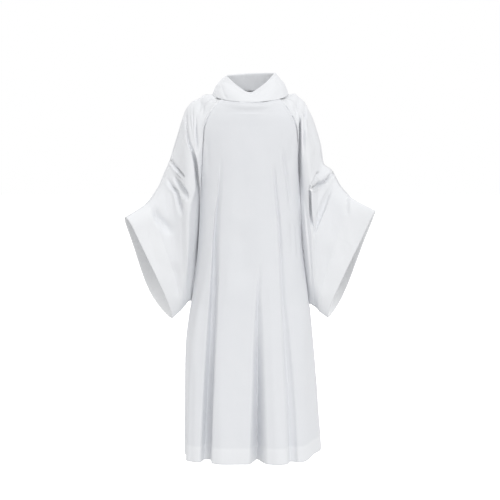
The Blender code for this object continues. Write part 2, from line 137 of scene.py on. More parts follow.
def readPath(points, share):
    length = metresDown(points)
    return readCurve(length / length[-1], points, share)


def ease(x):
    x = np.clip(x, 0.0, 1.0)
    return x * x * (3.0 - 2.0 * x)


def squared(angle, power):
    value = np.sin(np.radians(angle))
    return np.sign(value) * np.abs(value) ** power


def downShares(count):
    return np.interp(np.linspace(0.0, 1.0, count + 1), *skirt["crowdedRows"])


def softNoise(u, v, sizeU, sizeV, seed):
    # smooth bumps between -1 and 1, sizeU by sizeV metres apart
    side = cloth["noiseSide"]
    grid = np.random.default_rng(seed).uniform(-1.0, 1.0, (side, side))
    startU, startV = cloth["noiseStart"]
    a, b = u / sizeU + startU, v / sizeV + startV
    i, j = np.floor(a).astype(int), np.floor(b).astype(int)
    f, g = ease(a - i), ease(b - j)

    def at(di, dj):
        return grid[(i + di) % side, (j + dj) % side]

    top = at(0, 0) * (1 - f) + at(1, 0) * f
    low = at(0, 1) * (1 - f) + at(1, 1) * f
    return top * (1 - g) + low * g


def ringPoint(ring, turn):
    # a point of a ring round the neck, turned in degrees from the front to the wearer's left
    sine, cosine = math.sin(math.radians(turn)), math.cos(math.radians(turn))
    centre = ring["front"] if cosine > 0 else ring["back"]
    dip = abs(cosine)
    if "notch" in ring and cosine > 0:
        power, rounding = ring["notch"]
        dip = 1.0 - (sine**2 + rounding) ** (power / 2)
    z = ring["sideZ"] + ring.get("tilt", 0.0) * sine + (centre[1] - ring["sideZ"]) * dip
    return np.array([ring["halfWidth"] * sine, centre[0] * abs(cosine), z])


def raglanSeam(raglan, front, side, shares):
    turn = neck["raglanTurn"] if front else 180.0 - neck["raglanTurn"]
    path = np.array([ringPoint(neck, turn), *raglan, underarm[side]])
    return readPath(path * (side, 1.0, 1.0), shares)


def sideSeam(side, z):
    widths = readTable(skirt["sideSeams"], z)
    x = widths[:, 1] if side > 0 else -widths[:, 0]
    return np.column_stack([x, widths[:, 2], z])


def spacing(length, columns, marks):
    # close together at both edges, so that the seams can sink; the marks, places with the
    # share of columns before them, keep the columns on the walls of the bands
    edge = skirt["edgeColumns"]
    even = np.linspace(0.0, 1.0, columns + 1 - 2 * (len(edge) - 1))
    shares = [0.0, *(share for share, _ in marks), 1.0]
    places = [edge[-1], *(place for _, place in marks), length - edge[-1]]
    middle = np.interp(even, shares, places)
    return np.concatenate([edge[:-1], middle, length - edge[:-1][::-1]])


def bandMarks(row, place, panel):
    # the start and the end of each wall
    x, z = row[:, 0], row[len(row) // 2, 2]
    marks = []
    for columns, walls in panel["bands"]:
        leftX, leftSoft, rightX, rightSoft = readTable(walls, z)[:4]
        middle = (leftX + rightX) / 2
        least = skirt["bandFloor"]
        spots = (leftX - leftSoft, min(leftX + leftSoft, middle - least),
                 max(rightX - rightSoft, middle + least), rightX + rightSoft)
        end = x[-1] if middle > 0 else -x[0]
        squeeze = min(1.0, skirt["bandReach"] * end / max(abs(spots[0]), abs(spots[3])))
        marks += zip(columns, np.interp(np.array(spots) * squeeze, x, place))
    return marks


def plainRow(left, right, middle, spread, square, panel):
    power = 2.0 / square
    angle = np.linspace(-spread, spread, skirt["rowFineness"])
    reach = squared(angle, power) / squared(spread, power)
    level = squared(90.0 - np.abs(angle), power)
    edge = squared(90.0 - spread, power)
    swell = (level - edge) / (1.0 - edge)
    end = np.where(reach[:, None] < 0, left, right)
    points = end + (middle - end) * swell[:, None]
    points[:, 0] = np.abs(reach) * end[:, 0]
    place = metresDown(points)
    wanted = spacing(place[-1], panel["columns"], bandMarks(points, place, panel))
    return np.column_stack([np.interp(wanted, place, axis) for axis in points.T])


def foldRow(row, panel):
    place = metresDown(row)
    length = place[-1]
    across = place / length
    along = np.gradient(row[:, :2], place, axis=0)
    along /= np.linalg.norm(along, axis=1)[:, None]
    outward = np.column_stack([along[:, 1], -along[:, 0], np.zeros(len(row))])
    window = ease(np.minimum(across, 1.0 - across) / skirt["edgeWindow"])
    push = np.zeros(len(row))
    for middle, start, depth, near, far in panel["folds"]:
        height = np.interp(middle, across, row[:, 2])
        grown = np.clip((start - height) / (start - skirt["hemZ"]), 0.0, 1.0)
        width = skirt["foldTopWidth"] + (1.0 - skirt["foldTopWidth"]) * grown
        away = (across - middle) * length
        reach = np.where(away < 0.0, near, far) * width
        push -= depth * grown ** skirt["foldGrowth"] * np.exp(-((away / reach) ** 2))
    row = row + outward * (push * window)[:, None]
    x = row[:, 0]
    for _, walls in panel["bands"]:
        leftX, leftSoft, rightX, rightSoft, leftDeep, rightDeep = readTable(
            walls, row[len(row) // 2, 2])
        sunk = np.minimum(ease((x - leftX + leftSoft) / (2 * leftSoft)),
                          1.0 - ease((x - rightX + rightSoft) / (2 * rightSoft)))
        slant = np.clip((x - leftX) / (rightX - leftX), 0.0, 1.0)
        row[:, 1] += sunk * (leftDeep + (rightDeep - leftDeep) * slant)
    return row


def panelSheet(panel):
    front = panel["front"]
    above, below, hem = panel["rows"]
    shares = downShares(above)
    top = skirt["hemZ"] + skirt["hemDepth"]
    handed = []
    for side in ((-1, 1) if front else (1, -1)):
        seam = raglanSeam(panel["raglan"], front, side, shares)
        z = np.concatenate([np.linspace(underarm[side][2], top, below + 1)[1:],
                            np.linspace(top, skirt["hemZ"], hem + 1)[1:]])
        handed.append(np.vstack([seam, sideSeam(side, z)]))
    down = np.concatenate([
        shares,
        1.0 + np.linspace(0.0, skirt["hemShare"], below + 1)[1:],
        1.0 + np.linspace(skirt["hemShare"], 1.0, hem + 1)[1:],
    ])
    drop = (neck["front"] if front else neck["back"])[1] - handed[0][0, 2]
    grid = []
    for row, (spread, square) in enumerate(readTable(skirt["rowBend"], down)):
        left, right = handed[0][row], handed[1][row]
        z = (left[2] + right[2]) / 2 + drop * max(0.0, 1.0 - down[row]) ** 3
        middle = np.array([0.0, readTable(panel["centre"], z)[0], z])
        points = plainRow(left, right, middle, spread, square, panel)
        grid.append(foldRow(points, panel))
    grid = np.array(grid)
    start, over, lift, top = skirt["sideLift"]
    low = np.clip((top - grid[..., 2]) / (top - skirt["hemZ"]), 0.0, 1.0)
    grid[..., 2] += lift * low**2 * ease((grid[..., 0] - start) / over)
    return grid


frontPanel = {
    "front": True,
    "columns": 160,
    "rows": (230, 50, 14),          # to the underarm, to the turned hem, to the edge
    "raglan": mm((
        (122, -108, -34), (153, -118, -72), (173, -117, -118), (180, -110, -180), (186, -88, -280),
        (193, -66, -410), (201, -46, -550), (214, -22, -690),
    )),
    "centre": mm((
        (-35, -97), (-39, -128), (-50, -147), (-78, -158), (-130, -162), (-220, -163.5), (-380, -162),
        (-580, -165), (-800, -170), (-1100, -181), (-1412, -195),
    )),
    "folds": mm((
        # thousandths of the way across, top z, depth, reach to the left, to the right
        (100, -900, 12, 30, 26), (190, -600, -26, 40, 34), (355, -300, -10, 30, 70),
        (622, -600, -18, 30, 34), (850, -600, 12, 50, 50),
    )),
    "bands": (
        # sunk bands, each between a soft or crisp left and right wall:
        # z, left wall x, softness, right wall x, softness, depth at the left and at the right
        ((0.19, 0.24, 0.28, 0.33), mm((
            (-240, -114, 3, -106, 7, 0, 0), (-327, -120, 3, -111, 9, 4.6, 4.6),
            (-403, -127, 2, -117, 11, 9, 8), (-479, -135, 3, -122, 12, 13, 13),
            (-555, -141, 4, -126, 12, 18, 18), (-630, -145, 5, -127, 12, 23, 24),
            (-706, -149, 6, -127, 8, 28, 30), (-782, -153, 7, -129, 6, 33, 35),
            (-895, -160, 9, -132, 5, 38, 41), (-1007, -166, 10, -137, 4, 42, 47),
            (-1119, -173, 10, -141, 3, 46, 53), (-1232, -180, 10, -146, 3, 48, 59),
            (-1412, -188, 9, -152, 3, 50, 66),
        ))),
        ((0.48, 0.545, 0.58, 0.635), mm((
            (-640, 32, 4, 42, 6, 0, 0), (-706, 28, 5, 39, 8, 5, 5), (-782, 24, 5, 35, 9, 11, 11),
            (-838, 22, 7, 36, 13, 18, 18), (-895, 21, 10, 36, 17, 26, 26),
            (-1007, 20, 13, 37, 20, 44, 44), (-1119, 19, 16, 38, 22, 62, 62),
            (-1232, 17, 19, 38, 25, 80, 80), (-1412, 14, 23, 39, 28, 104, 104),
        ))),
        ((0.72, 0.76, 0.79, 0.83), mm((
            (-260, 84, 4, 93, 5, 0, 0), (-327, 89, 4, 97, 5, 7, 7), (-403, 95, 4, 104, 6, 8.5, 8),
            (-479, 103, 4, 112, 6, 11, 10), (-555, 107, 5, 118, 7, 12, 10.5),
            (-630, 111, 5, 124, 8, 13, 10.5), (-706, 114, 5, 129, 11, 15, 10),
            (-782, 118, 6, 135, 12, 17, 9), (-895, 124, 8, 147, 11, 21, 7),
            (-1007, 129, 9, 157, 10, 26, 7), (-1119, 133, 9, 166, 9, 30, 7),
            (-1232, 137, 8, 174, 9, 34, 7.5), (-1412, 143, 8, 180, 10, 40, 12),
        ))),
    ),
}
backPanel = {
    "front": False,
    "columns": 130,
    "rows": (150, 50, 14),
    "raglan": mm((
        (122, 88, -22), (150, 105, -60), (170, 110, -115), (180, 104, -185), (187, 86, -290),
        (195, 68, -420), (204, 50, -560), (215, 30, -690),
    )),
    "centre": mm((
        (14, 88), (-8, 108), (-45, 127), (-110, 141), (-190, 147), (-320, 145), (-520, 142), (-800, 147),
        (-1100, 160), (-1412, 178),
    )),
    "folds": mm((
        (130, -400, 44, 26, 30), (215, -550, -24, 30, 26), (300, -160, 72, 28, 42),
        (405, -600, -16, 34, 30), (500, -480, 58, 36, 30), (600, -660, -18, 28, 34),
        (690, -200, 80, 44, 26), (785, -700, -24, 26, 26), (875, -340, 48, 28, 26),
    )),
    "bands": (),
}

sleeves = {
    "columns": 150,
    "cuffColumns": 18,              # of them, over the turned hem
    "nearColumns": (0.0, 0.003, 0.0065, 0.011, 0.0165),     # close by the armhole seam
    "crowd": ((0.20, 0.11, 1.6), (0.58, 0.16, 0.8)),    # closer columns: where, how far, how much
    "crowdFineness": 301,
    "necklineRows": 8,
    "necklineShare": 0.07,
    "armHold": (0.75, 0.30, 0.75),  # share of the sleeve that feels the armhole
    "armShare": 0.13,
    "lowFold": 0.70,
    # by side: top x, y, z, low x, y, z, arm, front, back, belly as a share, turn in degrees
    -1: mm((
        (118, 0, 4, 232, 6, -806, 60, 108, 100, 0.4, 0.0),
        (152, 3, -10, 240, 6, -807, 66, 122, 110, 0.4, 0.0),
        (199, 6, -14, 247, 6, -812, 68, 128, 114, 0.4, 0.0),
        (247, 10, -46, 252, 6, -820, 66, 124, 108, 0.42, 4.0),
        (277, 18, -135, 258, 5, -826, 62, 112, 98, 0.44, 8.0),
        (307, 22, -235, 263, 4, -832, 58, 98, 90, 0.46, 12.0),
        (338, 16, -310, 268, 3, -838, 52, 86, 84, 0.52, 18.0),
        (366, 0, -370, 273, 1, -843, 44, 74, 82, 0.58, 24.0),
        (408, -30, -424, 279, -3, -849, 34, 56, 82, 0.64, 30.0),
        (482, -80, -472, 308, -10, -875, 22, 30, 86, 0.72, 34.0),
    ), 9),
    1: mm((
        (118, 0, 4, 230, 6, -818, 60, 108, 100, 0.4, 0.0),
        (152, 3, -8, 237, 6, -820, 66, 122, 110, 0.4, 0.0),
        (189, 6, -10, 244, 6, -824, 68, 128, 114, 0.4, 0.0),
        (222, 10, -44, 250, 6, -828, 66, 124, 108, 0.42, 3.0),
        (250, 18, -112, 255, 5, -832, 62, 112, 98, 0.44, 6.0),
        (274, 22, -190, 260, 4, -836, 58, 100, 92, 0.46, 10.0),
        (284, 20, -262, 265, 3, -840, 54, 90, 86, 0.48, 14.0),
        (320, 12, -294, 269, 2, -844, 50, 80, 84, 0.54, 20.0),
        (352, 0, -354, 273, 1, -849, 42, 70, 82, 0.6, 25.0),
        (400, -30, -402, 278, -3, -853, 28, 52, 68, 0.68, 30.0),
        (482, -80, -446, 304, -10, -872, 6, 26, 42, 0.78, 34.0),
    ), 9),
}


def sleeveRing(stations, at, front, side, shares):
    keys = np.linspace(0.0, 1.0, len(stations))
    s = readCurve(keys, stations, at)
    top, low = s[0:3], s[3:6]
    arm, belly, turn = s[6], s[9], math.radians(s[10])
    depth = s[7] if front else s[8]
    share = shares[:, None]
    line = top + (low - top) * share
    cap = np.sqrt(1.0 - (1.0 - np.clip(share / sleeves["armShare"], 0.0, 1.0)) ** 2)
    swell = arm + (depth - arm) * ease(share / belly)
    below = np.clip((share - belly) / (1.0 - belly), 0.0, 1.0)
    bulge = cap * swell * (1.0 - below**2) ** sleeves["lowFold"]
    forwards = np.array([-math.sin(turn), -math.cos(turn), 0.0])
    points = line + forwards * (bulge if front else -bulge)
    return points * (side, 1.0, 1.0)


def sleeveSheet(front, side):
    stations = sleeves[side]
    alongNeck = sleeves["necklineRows"]
    panel = frontPanel if front else backPanel
    corner = neck["raglanTurn"] if front else 180.0 - neck["raglanTurn"]
    turns = 90.0 + (corner - 90.0) * np.arange(alongNeck) / alongNeck
    onNeck = np.array([ringPoint(neck, turn) for turn in turns]) * (side, 1.0, 1.0)
    lower = downShares(panel["rows"][0])
    seam = np.vstack([onNeck, raglanSeam(panel["raglan"], front, side, lower)])
    part = sleeves["necklineShare"]
    shares = np.append(np.linspace(0.0, part, alongNeck + 1)[:-1], part + (1 - part) * lower)
    cuff = 1.0 / (len(stations) - 1)
    plain = sleeves["columns"] - sleeves["cuffColumns"]
    near = np.array(sleeves["nearColumns"])
    along = np.linspace(near[-1], 1.0 - cuff, sleeves["crowdFineness"])
    crowd = 1.0 + sum(more * np.exp(-(((along - at) / reach) ** 2))
                      for at, reach, more in sleeves["crowd"])
    reached = np.concatenate([[0.0], np.cumsum((crowd[1:] + crowd[:-1]) / 2)])
    places = np.concatenate([
        near[:-1],
        np.interp(np.linspace(0.0, reached[-1], plain - len(near) + 2), reached, along),
        1.0 - cuff + cuff * np.arange(1, sleeves["cuffColumns"] + 1) / sleeves["cuffColumns"],
    ])
    first = sleeveRing(stations, 0.0, front, side, shares)
    columns = []
    for at in places:
        hold = np.clip(1.0 - at / np.array(sleeves["armHold"]), 0.0, 1.0) ** 2
        columns.append(sleeveRing(stations, at, front, side, shares) + (seam - first) * hold)
    grid = np.stack(columns, axis=1)
    return grid if front == (side > 0) else grid[:, ::-1]


collar = {
    "columns": 280,
    "rows": (10, 10, 36),           # stand, roll, fall
    # notch: how pointed the dip at the front is, and how rounded
    "rollRing": {"halfWidth": 0.092, "front": (-0.086, 0.001), "back": (0.070, 0.082),
                 "sideZ": 0.074, "notch": (1.45, 0.0006), "tilt": 0.005},
    "rollRadius": 0.004,
    "fallRing": {"halfWidth": 0.152, "front": (-0.156, -0.029), "back": (0.130, 0.006),
                 "sideZ": 0.008},
    "fallCrown": 0.003,
    "settle": 0.007,                # the free edge curls in to lie on the shoulders
    "settleFrom": 0.4,              # share of the fall
    "settleWay": (0.8, 0.6),        # inwards and down
    "standLift": 0.0020,
    "layGap": 0.0020,               # from the cloth below to the free edge
    # the cloth below rises to the free edge: over this reach, by no more than this, and
    # leaning upwards by this much at the shoulders, beyond this x
    "carryReach": 0.065,
    "carryMost": 0.040,
    "carryLean": 1.6,
    "carryLeanFrom": 0.045,
    "carryBlend": 0.005,
    "carryTop": -0.15,              # lower than this nothing rises
    "carryStart": 0.15,             # and nothing at the neck seam, by this share of its size
}


def collarSheet():
    c = collar
    stand, roll, fall = c["rows"]
    inwards, down = c["settleWay"]
    up = np.array([0.0, 0.0, 1.0])
    columns = []
    for turn in np.arange(c["columns"]) * 360.0 / c["columns"]:
        sewn = ringPoint(neck, turn) + up * c["standLift"]
        top, edge = ringPoint(c["rollRing"], turn), ringPoint(c["fallRing"], turn)
        out = (edge - top) * (1.0, 1.0, 0.0)
        out /= np.linalg.norm(out)
        points = [sewn + (top - sewn) * f for f in np.linspace(0.0, 1.0, stand + 1)]
        for step in range(1, roll):
            angle = math.pi * step / roll
            points.append(top + (out + up * math.sin(angle) - out * math.cos(angle))
                          * c["rollRadius"])
        start = top + out * 2 * c["rollRadius"]
        for f in np.linspace(0.0, 1.0, fall + 1):
            crown = (out + up) * c["fallCrown"] * math.sin(math.pi * f)
            curl = max(0.0, f - c["settleFrom"]) ** 2 / (1.0 - c["settleFrom"]) ** 2
            settle = (out * inwards + up * down) * c["settle"] * curl
            points.append(start + (edge - start) * f + crown - settle)
        columns.append(points)
    return np.stack(columns, axis=1)


# Deep hollows beside the armholes and the left elbow.  Over a seam both of its sheets take the
# same push.  x, z, depth, reach to the left and to the right as drawn from the front
hollows = (
    (("sleeveRightFront", "frontPanel"), mm((
        (-247, -50, 3, 4, 4), (-245, -118, 5, 4, 4), (-236, -176, 8, 5, 5), (-220, -222, 20, 6, 6),
        (-209, -264, 38, 7, 5), (-204, -321, 42, 7, 5), (-200, -367, 36, 10, 5), (-198, -425, 28, 26, 4),
        (-200, -491, 27, 30, 4), (-204, -562, 27, 29, 4), (-211, -632, 24, 27, 4),
        (-222, -700, 19, 25, 4), (-231, -760, 10, 22, 5), (-234, -800, 0, 20, 5),
    ))),
    (("sleeveLeftFront", "frontPanel"), mm((
        (191, -66, 0, 6, 6), (189, -100, 16, 4, 5), (187, -140, 34, 4, 6), (186, -233, 32, 4, 7),
        (188, -310, 24, 4, 8), (192, -387, 2, 5, 10), (197, -445, -10, 5, 12), (203, -523, -14, 5, 14),
        (211, -621, -14, 5, 16), (220, -721, -8, 5, 16), (226, -800, 0, 5, 16),
    ))),
    (("sleeveLeftFront",), mm((
        (226, -352, 4, 4, 4), (227, -380, 24, 4, 5), (228, -424, 32, 4, 6), (231, -470, 28, 4, 7),
        (238, -520, 12, 5, 8), (245, -560, 0, 5, 8),
    ))),
    (("sleeveLeftFront",), mm((
        (325, -340, 2, 8, 4), (301, -396, 10, 16, 4), (290, -430, 14, 20, 4), (262, -492, 14, 16, 5),
        (243, -545, 0, 6, 5),
    ))),
    (("sleeveRightBack", "backPanel"), mm((
        (-214, -60, 3, 5, 4), (-202, -140, 14, 9, 4), (-195, -250, 24, 15, 5), (-196, -380, 30, 20, 5),
        (-203, -520, 34, 24, 5), (-213, -640, 28, 26, 5), (-226, -740, 12, 22, 5),
        (-231, -795, 0, 20, 5),
    ))),
    (("sleeveLeftBack", "backPanel"), mm((
        (222, -70, 4, 4, 6), (206, -160, 12, 4, 9), (192, -270, 26, 5, 13), (194, -400, 34, 5, 22),
        (202, -540, 30, 5, 26), (212, -660, 24, 5, 24), (222, -750, 10, 5, 22), (227, -800, 0, 5, 20),
    ))),
)


# Creases, in millimetres: (x, z) points of the path, the width at its start and end, the depth,
# the lip, a ridge on the right of the trough going down or, below 0, on its left, and the shares
# of the path over which the crease comes and goes
creases = {
    "frontPanel": (
        (((120, -190), (132, -271), (141, -327), (151, -404), (155, -470)), (6, 8), 10, -0.5),
        (((150, -470), (158, -560), (162, -640)), (6, 8), 4, 0.5),
        (((172, -480), (178, -560), (184, -650)), (5, 6), 4, 0.5),
        (((-40, -470), (-30, -600), (-20, -760)), (40, 50), 7),
        (((158, -150), (150, -300)), (8, 10), 3),
        (((-166, -160), (-158, -330)), (8, 12), 3, -0.5),
        (((-222, -960), (-228, -1150), (-234, -1412)), (10, 14), 8, 0, (0.4, 0.0)),
        (((130, -1000), (139, -1200), (143, -1412)), (8, 10), -5, 0, (0.4, 0.0)),
    ),
    "backPanel": (
        (((-60, -150), (-72, -300), (-80, -470)), (10, 14), 6, 0.5),
        (((84, -130), (88, -260), (98, -400)), (7, 12), 7, -0.5),
        (((15, -340), (8, -520)), (16, 20), 5),
        (((-140, -240), (-130, -420), (-136, -580)), (8, 12), 6, -0.5),
        (((146, -330), (154, -480)), (8, 12), 5),
    ),
    "sleeveRightFront": (
        (((-209, -80), (-208, -138), (-204, -184), (-202, -240)), (3, 4), 10, -0.5),
        (((-233, -40), (-231, -107), (-224, -157)), (3, 3), 4, 0.4),
        (((-221, -30), (-221, -91), (-216, -150)), (3, 3), 4, 0.4),
        (((-249, -60), (-246, -118), (-238, -176), (-224, -222)), (4, 5), 5, -0.6, (0.2, 0.2)),
        (((-320, -246), (-289, -284), (-248, -324)), (5, 5), 16, -0.5, (0.08, 0.25)),
        (((-302, -306), (-278, -342), (-256, -374), (-236, -412)), (5, 10), 32, -0.3, (0.5, 0.3)),
        (((-328, -315), (-309, -350), (-288, -376), (-272, -433), (-262, -480)), (6, 7), 20, -0.4),
        (((-376, -420), (-358, -473), (-335, -500), (-300, -548)), (8, 18), 20, -0.4),
        (((-183, -22), (-194, -49), (-199, -85)), (6, 7), 6, -0.4, (0.3, 0.6)),
        (((-168, -26), (-179, -49), (-186, -95)), (5, 6), 5, -0.4, (0.3, 0.6)),
        (((-300, -640), (-285, -720), (-282, -800)), (22, 20), 8),
        (((-410, -470), (-380, -600), (-345, -720)), (28, 30), 6, 0.4),
    ),
    "sleeveLeftFront": (
        (((211, -10), (210, -99), (206, -176), (204, -245)), (3, 4), 10, 0.6),
        (((334, -296), (297, -327), (269, -346), (226, -370)), (5, 6), 26, 0.2, (0.2, 0.15)),
        (((268, -296), (250, -326), (234, -352)), (5, 5), 17, -0.3),
        (((375, -370), (373, -426), (371, -475)), (6, 8), 7, 0.5),
        (((176, -28), (183, -53), (187, -95)), (5, 6), 6, 0.4, (0.3, 0.6)),
        (((163, -40), (174, -69), (179, -110)), (5, 5), 5, 0.4, (0.3, 0.6)),
        (((250, -200), (242, -290), (238, -340)), (12, 12), 4),
        (((300, -560), (290, -690), (285, -790)), (30, 26), 8),
    ),
    "sleeveRightBack": (
        (((-318, -275), (-280, -330), (-235, -400)), (6, 9), 12, -0.5),
        (((-350, -350), (-310, -430), (-272, -570)), (8, 14), 12, -0.5),
        (((-330, -315), (-292, -352), (-262, -372)), (5, 6), 8, 0.5),
        (((-232, -60), (-222, -150), (-212, -250)), (4, 6), 6, 0.5),
        (((-182, -40), (-190, -90)), (4, 5), 5, 0.5, (0.1, 0.6)),
        (((-340, -600), (-310, -720), (-300, -800)), (28, 26), 9),
    ),
    "sleeveLeftBack": (
        (((292, -285), (262, -345), (228, -420)), (5, 9), 11, 0.5),
        (((345, -340), (312, -420), (272, -560)), (8, 13), 12, 0.5),
        (((310, -320), (276, -372), (258, -450)), (6, 6), 8, -0.5),
        (((226, -50), (218, -140), (206, -230)), (4, 6), 7, -0.5),
        (((180, -45), (186, -100)), (4, 5), 5, -0.5, (0.1, 0.6)),
        (((320, -590), (300, -700), (292, -790)), (30, 26), 8),
    ),
    # round the collar from the centre front, then up and over from its seam
    "collar": (
        (((-50, 122), (10, 130), (60, 121)), (4, 4), 2, 0.5),
        (((-20, 112), (30, 118), (90, 112)), (3, 4), 1.4, 0.5),
        (((-150, 115), (-120, 140), (-85, 156)), (6, 8), 3, 0.5),
        (((120, 112), (142, 130), (150, 150)), (5, 7), 3, -0.5),
        (((190, 110), (215, 135), (222, 160)), (6, 8), 3.4, 0.5),
        (((-215, 108), (-205, 140), (-220, 165)), (6, 9), 3, -0.5),
        (((-330, 112), (-350, 150)), (7, 9), 2.6),
        (((300, 112), (318, 140), (312, 165)), (7, 9), 2.8, 0.5),
        (((-40, 30), (-10, 60), (50, 70)), (7, 9), 2.4),
        (((410, 30), (430, 80)), (8, 8), 2.6),
    ),
}
press = {
    "hollowPoints": 40,
    "steepShare": 0.85,     # of a hollow's depth; the rest is its soft foot
    "steepPower": 6.0,
    "footNarrow": 1.8,
    "creasePoints": 18,
    "fade": (0.35, 0.35),   # unless a crease gives its own
    "ridgeShare": 0.5,
    "ridgePlace": 1.9,      # in widths from the middle of the trough
    "troughPower": 1.6,
}
# (size across, size down, height), in metres, with the seed of its soft dents
dents = {
    "frontPanel": ((0.060, 0.420, 0.0022), (0.030, 0.120, 0.0006), 3),
    "backPanel": ((0.060, 0.380, 0.0024), (0.032, 0.120, 0.0006), 5),
    "sleeveRightFront": ((0.070, 0.160, 0.0022), (0.028, 0.060, 0.0006), 7),
    "sleeveRightBack": ((0.075, 0.170, 0.0026), (0.030, 0.060, 0.0006), 11),
    "sleeveLeftFront": ((0.070, 0.150, 0.0022), (0.028, 0.060, 0.0006), 13),
    "sleeveLeftBack": ((0.075, 0.160, 0.0026), (0.030, 0.060, 0.0006), 17),
    "collar": ((0.045, 0.022, 0.0012), (0.016, 0.010, 0.0003), 19),
}


def nearPath(flat, path):
    # distance to the path, positive on its right going down, and the share of its length
    best = np.full(flat.shape[:-1], np.inf)
    signed, share = np.zeros_like(best), np.zeros_like(best)
    for i in range(len(path) - 1):
        run = path[i + 1] - path[i]
        rel = flat - path[i]
        f = np.clip((rel @ run) / (run @ run), 0.0, 1.0)
        gap = rel - f[..., None] * run
        away = np.linalg.norm(gap, axis=-1)
        nearer = away < best
        turn = np.sign(run[0] * gap[..., 1] - run[1] * gap[..., 0])
        best = np.where(nearer, away, best)
        signed = np.where(nearer, away * turn, signed)
        share = np.where(nearer, (i + f) / (len(path) - 1), share)
    return signed, share


def collarMeasure(grid):
    # metres round the collar from the centre front, and metres up and over from its seam
    around = metresAcross(grid)
    length = around[:, -1:] * grid.shape[1] / (grid.shape[1] - 1)
    around = np.where(around > length / 2, around - length, around)
    return np.stack([around, metresDown(grid)], axis=-1)


def meetCollar(grid, normals, edge):
    # the cloth round the neck stands up to carry the collar's free edge
    c = collar
    place = grid.copy()
    near = grid[..., 2] > c["carryTop"]
    points, own = grid[near], normals[near]
    over = (np.abs(points[:, :1]) - c["carryLeanFrom"]) / c["carryLeanFrom"]
    ways = own + c["carryLean"] * ease(over) * (0.0, 0.0, 1.0)
    ways /= np.linalg.norm(ways, axis=1)[:, None]
    away = np.linalg.norm(points[:, None] - edge[None], axis=2)
    towards = edge[away.argmin(axis=1)] - points
    over = (towards * own).sum(axis=1) - c["layGap"]
    rise = (over + np.sqrt(over**2 + c["carryBlend"]**2)) / 2
    rise /= np.maximum((own * ways).sum(axis=1), 0.5)
    rise *= np.exp(-((away.min(axis=1) / c["carryReach"]) ** 4))
    depth = np.where(points[:, 1] < 0.0, -neck["front"][0], neck["back"][0])
    fromNeck = np.hypot(points[:, 0] / neck["halfWidth"], points[:, 1] / depth) - 1.0
    rise *= ease(fromNeck / c["carryStart"])
    place[near] = points + ways * np.minimum(rise, c["carryMost"])[:, None]
    return place


def hollowPush(flat, table):
    keys = np.linspace(0.0, 1.0, len(table))
    fine = np.linspace(0.0, 1.0, press["hollowPoints"])
    path = readCurve(keys, table, fine)
    signed, share = nearPath(flat, path[:, :2])
    depth, left, right = (np.interp(share, fine, path[:, i]) for i in (2, 3, 4))
    q = np.abs(signed) / np.where(signed < 0.0, left, right)
    steep, foot = np.exp(-(q ** press["steepPower"])), np.exp(-((q * press["footNarrow"]) ** 2))
    return depth * (foot + (steep - foot) * press["steepShare"])


def creasePush(flat, path, width, depth, lip=0.0, fade=press["fade"]):
    path = readPath(mm(path), np.linspace(0.0, 1.0, press["creasePoints"]))
    signed, share = nearPath(flat, path)
    start, end = mm(width)
    q = signed / (start + (end - start) * share)
    held = ease(share / fade[0])
    if fade[1]:
        held = held * ease((1.0 - share) / fade[1])
    ridge = press["ridgeShare"] * abs(lip) * np.exp(-((q * np.sign(lip) - press["ridgePlace"]) ** 2))
    trough = np.exp(-(np.abs(q) ** press["troughPower"]))
    return depth / 1000.0 * held * (ridge - trough)


def sheetNormals(grid, wrap=False):
    closed = np.concatenate([grid, grid[:, :1]], axis=1) if wrap else grid
    a, b = closed[:-1, :-1], closed[:-1, 1:]
    c, d = closed[1:, 1:], closed[1:, :-1]
    faces = np.cross(c - a, b - d)
    total = np.zeros_like(closed)
    for part in (np.s_[:-1, :-1], np.s_[:-1, 1:], np.s_[1:, 1:], np.s_[1:, :-1]):
        total[part] += faces
    if wrap:
        total[:, 0] += total[:, -1]
        total = total[:, :-1]
    return total / np.linalg.norm(total, axis=2)[..., None]


def spot(point):
    return tuple(np.round(point, 6))


def sewnNormals(sheets):
    # each sheet's normals, halved between the sheets that meet at a seam
    own = {name: sheetNormals(grid, name == "collar") for name, grid in sheets.items()}
    rims = {}
    for name, grid in sheets.items():
        mask = np.zeros(grid.shape[:2], bool)
        mask[[0, -1]] = True
        if name != "collar":
            mask[:, [0, -1]] = True
        rims[name] = mask
    totals = {}
    for name, grid in sheets.items():
        for point, normal in zip(grid[rims[name]], own[name][rims[name]]):
            key = spot(point)
            totals[key] = totals.get(key, 0.0) + normal
    for name, grid in sheets.items():
        shared = np.array([totals[spot(point)] for point in grid[rims[name]]])
        own[name][rims[name]] = shared / np.linalg.norm(shared, axis=1)[:, None]
    return own


def seamEdges(name):
    # which of left, right, top and bottom are sewn to another piece
    if name == "collar":
        return (False, False, True, False)
    if name.endswith("Panel"):
        return (True, True, True, False)
    cuffOnRight = name in ("sleeveLeftFront", "sleeveRightBack")
    return (cuffOnRight, not cuffOnRight, True, True)


def fromSeams(name, grid):
    across, down = metresAcross(grid), metresDown(grid)
    edges = (across, across[:, -1:] - across, down, down[-1:] - down)
    return np.minimum.reduce([edge for edge, sewn in zip(edges, seamEdges(name)) if sewn])


def seamSink(grid):
    heights, depths = cloth["seamDip"].T
    return np.interp(-grid[..., 2], -heights, depths)


def turnedHem(name):
    # the line where a turned hem begins, and the part of the sheet that it lies behind
    if name.endswith("Panel"):
        start = -1 - frontPanel["rows"][2]
        return np.s_[start:start + 1], np.s_[start:]
    count = sleeves["cuffColumns"]
    if seamEdges(name)[0]:
        return np.s_[:, -1 - count:-count], np.s_[:, -1 - count:]
    return np.s_[:, count:count + 1], np.s_[:, :count + 1]


